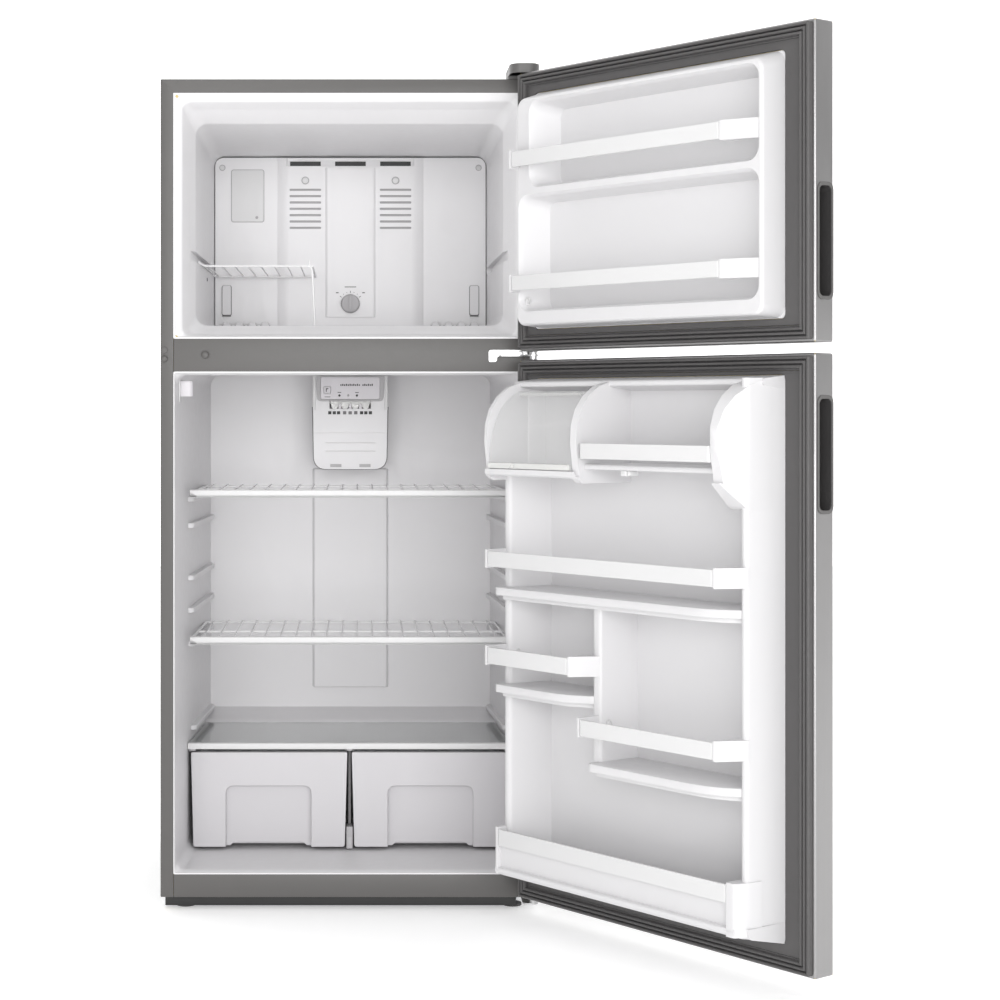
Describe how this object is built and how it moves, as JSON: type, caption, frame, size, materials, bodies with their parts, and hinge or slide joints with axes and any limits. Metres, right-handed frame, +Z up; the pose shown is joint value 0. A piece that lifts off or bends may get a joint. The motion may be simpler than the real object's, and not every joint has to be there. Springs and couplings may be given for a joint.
{
  "type": "top freezer refrigerator",
  "caption": "Upright household refrigerator with a freezer over the fresh food space, both doors open, wire shelves, crisper drawers, door bins and pocket handles.",
  "frame": {"origin": "on the floor, at the middle of the footprint of the whole object with its doors open", "axes": "+Z up, -Y the way the cabinet's front faces, +X towards the hinge side, the right as seen from the front"},
  "size_m": [1.2106, 1.3762, 1.688],
  "materials": {
    "cabinet_paint": "satin",
    "door_steel": "satin",
    "zinc_sheet": "satin",
    "plated_steel": "satin",
    "liner_white": "satin",
    "wire_white": "gloss",
    "trim_white": "satin",
    "drawer_white": "satin",
    "shelf_glass": "gloss",
    "clear_plastic": "gloss",
    "bulb_glass": "satin",
    "rigid_foam": "matte",
    "gasket": "matte",
    "dark_plastic": "matte",
    "gray_plastic": "satin",
    "black_metal": "satin",
    "coil_aluminium": "satin",
    "coil_tube": "satin"
  },
  "bodies": {
    "cabinet": {"cabinet_shell": "cabinet_paint", "mullion_rail": "cabinet_paint", "bottom_rail": "cabinet_paint", "insulation": "rigid_foam", "back_panel": "zinc_sheet", "base_pan": "zinc_sheet", "rear_cover": "zinc_sheet", "fridge_liner": "liner_white", "freezer_liner": "liner_white", "levelling_foot_left": "dark_plastic", "levelling_foot_right": "dark_plastic", "evaporator_cover": "liner_white", "evaporator_coil": "coil_aluminium", "evaporator_fan_motor": "black_metal", "defrost_heater": "black_metal", "freezer_shelf": "wire_white", "fridge_shelf_upper": "wire_white", "fridge_shelf_lower": "wire_white", "crisper_glass": "shelf_glass", "crisper_frame": "trim_white", "crisper_support": "gray_plastic", "control_box": "liner_white", "control_panel": "gray_plastic", "light_lens": "clear_plastic", "light_bulb": "bulb_glass", "compressor": "black_metal", "condenser_coil": "coil_tube", "condenser_fan_motor": "black_metal", "drain_pan": "dark_plastic", "top_hinge": "plated_steel", "top_hinge_cover": "dark_plastic", "centre_hinge": "plated_steel", "bottom_hinge": "plated_steel"},
    "freezer_door": {"freezer_door_skin": "door_steel", "freezer_door_insulation": "rigid_foam", "freezer_door_liner": "liner_white", "freezer_door_gasket": "gasket", "freezer_door_pocket_handle": "dark_plastic", "freezer_door_bar_upper": "trim_white", "freezer_door_bar_lower": "trim_white"},
    "fridge_door": {"fridge_door_skin": "door_steel", "fridge_door_insulation": "rigid_foam", "fridge_door_liner": "liner_white", "fridge_door_gasket": "gasket", "fridge_door_pocket_handle": "dark_plastic", "fridge_door_bar_top": "trim_white", "fridge_door_bar_middle": "trim_white", "fridge_door_bar_left": "trim_white", "fridge_door_bar_right": "trim_white", "fridge_door_bar_bottom": "trim_white"},
    "dairy_flap": {"dairy_lid": "clear_plastic"},
    "left_drawer": {"crisper_left": "drawer_white"},
    "right_drawer": {"crisper_right": "drawer_white"},
    "temperature_knob": {"freezer_control_knob": "gray_plastic"},
    "mode_button": {"setting_button": "gray_plastic"},
    "door_switch": {"light_switch": "gray_plastic"},
    "evaporator_fan": {"evaporator_fan_blade": "gray_plastic"},
    "condenser_fan": {"condenser_fan_blade": "gray_plastic"},
    "left_roller": {"rear_roller_left": "dark_plastic"},
    "right_roller": {"rear_roller_right": "dark_plastic"}
  },
  "joints": [
    {"name": "freezer_door_hinge", "type": "hinge", "parent": "cabinet", "child": "freezer_door", "pos_m": [0.13854, -0.06443, 1.393], "axis": [0, 0, 1], "range_deg": [-127.3, 3]},
    {"name": "fridge_door_hinge", "type": "hinge", "parent": "cabinet", "child": "fridge_door", "pos_m": [0.13854, -0.06443, 0.567], "axis": [0, 0, 1], "range_deg": [-127.3, 3]},
    {"name": "dairy_lid_hinge", "type": "hinge", "parent": "fridge_door", "child": "dairy_flap", "pos_m": [0.17553, -0.24996, 1.028], "axis": [-0.606, 0.7955, 0], "range_deg": [0, 68]},
    {"name": "left_drawer_slide", "type": "slide", "parent": "cabinet", "child": "left_drawer", "axis": [0, -1, 0], "range_m": [0, 0.25]},
    {"name": "right_drawer_slide", "type": "slide", "parent": "cabinet", "child": "right_drawer", "axis": [0, -1, 0], "range_m": [0, 0.25]},
    {"name": "temperature_knob_turn", "type": "hinge", "parent": "cabinet", "child": "temperature_knob", "pos_m": [-0.22746, 0.56007, 1.2425], "axis": [0, -1, 0], "range_deg": [-50, 50]},
    {"name": "mode_button_press", "type": "slide", "parent": "cabinet", "child": "mode_button", "axis": [0, 1, 0], "range_m": [0, 0.0015], "stiffness_N_per_m": 800},
    {"name": "door_switch_press", "type": "slide", "parent": "cabinet", "child": "door_switch", "axis": [1, 0, 0], "range_m": [-0.004, 0], "stiffness_N_per_m": 300},
    {"name": "evaporator_fan_spin", "type": "hinge", "parent": "cabinet", "child": "evaporator_fan", "pos_m": [-0.22746, 0.58707, 1.46], "axis": [0, -1, 0], "continuous": true},
    {"name": "condenser_fan_spin", "type": "hinge", "parent": "cabinet", "child": "condenser_fan", "pos_m": [-0.27546, 0.58607, 0.135], "axis": [1, 0, 0], "continuous": true},
    {"name": "left_roller_spin", "type": "hinge", "parent": "cabinet", "child": "left_roller", "pos_m": [-0.55746, 0.65407, 0.014], "axis": [1, 0, 0], "continuous": true},
    {"name": "right_roller_spin", "type": "hinge", "parent": "cabinet", "child": "right_roller", "pos_m": [0.10254, 0.65407, 0.014], "axis": [1, 0, 0], "continuous": true}
  ]
}
